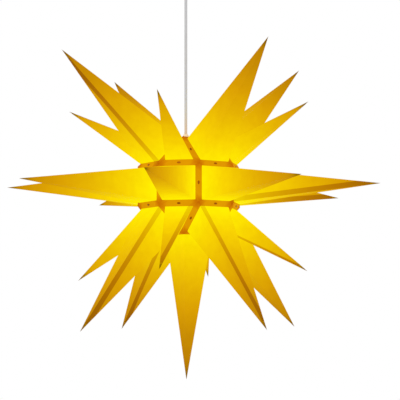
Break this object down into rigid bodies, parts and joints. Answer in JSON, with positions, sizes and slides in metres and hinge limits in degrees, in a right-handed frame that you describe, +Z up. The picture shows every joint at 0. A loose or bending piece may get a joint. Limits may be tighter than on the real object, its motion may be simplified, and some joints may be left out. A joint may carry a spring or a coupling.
{
  "type": "moravian star pendant",
  "caption": "Folded-paper many-pointed star lantern that hangs by its lamp cord from a ceiling canopy, with a screw-in lamp inside.",
  "frame": {"origin": "centre of the ceiling bracket's top face, where the fitting meets the ceiling", "axes": "+Z up, out of the ceiling mount; the cord hangs along -Z; -Y is the side shown in the picture"},
  "size_m": [0.5875, 0.5868, 0.68],
  "materials": {
    "star_paper": "translucent coloured paper, lit from inside",
    "dark_brass": "tarnished brass",
    "grey_board": "matt grey board",
    "white_plastic": "moulded, satin",
    "zinc_steel": "zinc plated",
    "glazed_insert": "glazed",
    "bright_brass": "bright",
    "cord_sheath": "smooth, pale grey-white",
    "black_glass": "black glass insulator",
    "nickel": "rolled thread",
    "lamp_white": "satin",
    "board_aluminium": "white coated board",
    "opal_globe": "opal diffuser, lit",
    "canopy_white": "white powder coat",
    "block_plastic": "moulded"
  },
  "bodies": {
    "ceiling": {"canopy": "canopy_white", "ceiling_bracket": "zinc_steel", "canopy_screws": "zinc_steel", "ceiling_grip": "white_plastic", "ceiling_grip_nut": "zinc_steel", "terminal_block": "block_plastic", "terminal_screws": "bright_brass", "cord_tail": "cord_sheath"},
    "cord_bend": {"cord_bend": "cord_sheath"},
    "cord": {"cord": "cord_sheath"},
    "star": {"belt_fasteners": "dark_brass", "belt_point_1": "star_paper", "belt_point_2": "star_paper", "belt_point_3": "star_paper", "belt_point_4": "star_paper", "belt_point_5": "star_paper", "belt_point_6": "star_paper", "belt_point_7": "star_paper", "belt_point_8": "star_paper", "bottom_fasteners": "dark_brass", "bottom_point": "star_paper", "cover_fasteners": "dark_brass", "hanger_plate": "grey_board", "lamp_lead": "cord_sheath", "lampholder_body": "white_plastic", "lampholder_cap": "white_plastic", "lampholder_contact": "bright_brass", "lampholder_insert": "glazed_insert", "lampholder_screws": "bright_brass", "lampholder_shell": "bright_brass", "lower_belt_fasteners": "dark_brass", "lower_fasteners": "dark_brass", "lower_square_point_1": "star_paper", "lower_square_point_2": "star_paper", "lower_square_point_3": "star_paper", "lower_square_point_4": "star_paper", "lower_triangle_point_1": "star_paper", "lower_triangle_point_2": "star_paper", "lower_triangle_point_3": "star_paper", "lower_triangle_point_4": "star_paper", "star_cover": "star_paper", "star_grip": "white_plastic", "star_grip_nut": "zinc_steel", "upper_belt_fasteners": "dark_brass", "upper_fasteners": "dark_brass", "upper_square_point_1": "star_paper", "upper_square_point_2": "star_paper", "upper_square_point_3": "star_paper", "upper_square_point_4": "star_paper", "upper_triangle_point_1": "star_paper", "upper_triangle_point_2": "star_paper", "upper_triangle_point_3": "star_paper", "upper_triangle_point_4": "star_paper"},
    "lamp": {"lamp_contact": "zinc_steel", "lamp_insulator": "black_glass", "lamp_screw_shell": "nickel", "lamp_housing": "lamp_white", "lamp_board": "board_aluminium", "lamp_globe": "opal_globe"}
  },
  "joints": [
    {"name": "swing_fore_aft", "type": "hinge", "parent": "ceiling", "child": "cord_bend", "pos_m": [0, 0, -0.061], "axis": [1, 0, 0], "range_deg": [-20, 20]},
    {"name": "swing_sideways", "type": "hinge", "parent": "cord_bend", "child": "cord", "pos_m": [0, 0, -0.07], "axis": [0, 1, 0], "range_deg": [-20, 20]},
    {"name": "star_turn", "type": "hinge", "parent": "cord", "child": "star", "pos_m": [0, 0, -0.30195], "axis": [0, 0, 1], "range_deg": [-180, 180], "stiffness_Nm_per_rad": 0.01},
    {"name": "lamp_removal", "type": "slide", "parent": "star", "child": "lamp", "axis": [0, 0, -1], "range_m": [0, 0.028]}
  ]
}
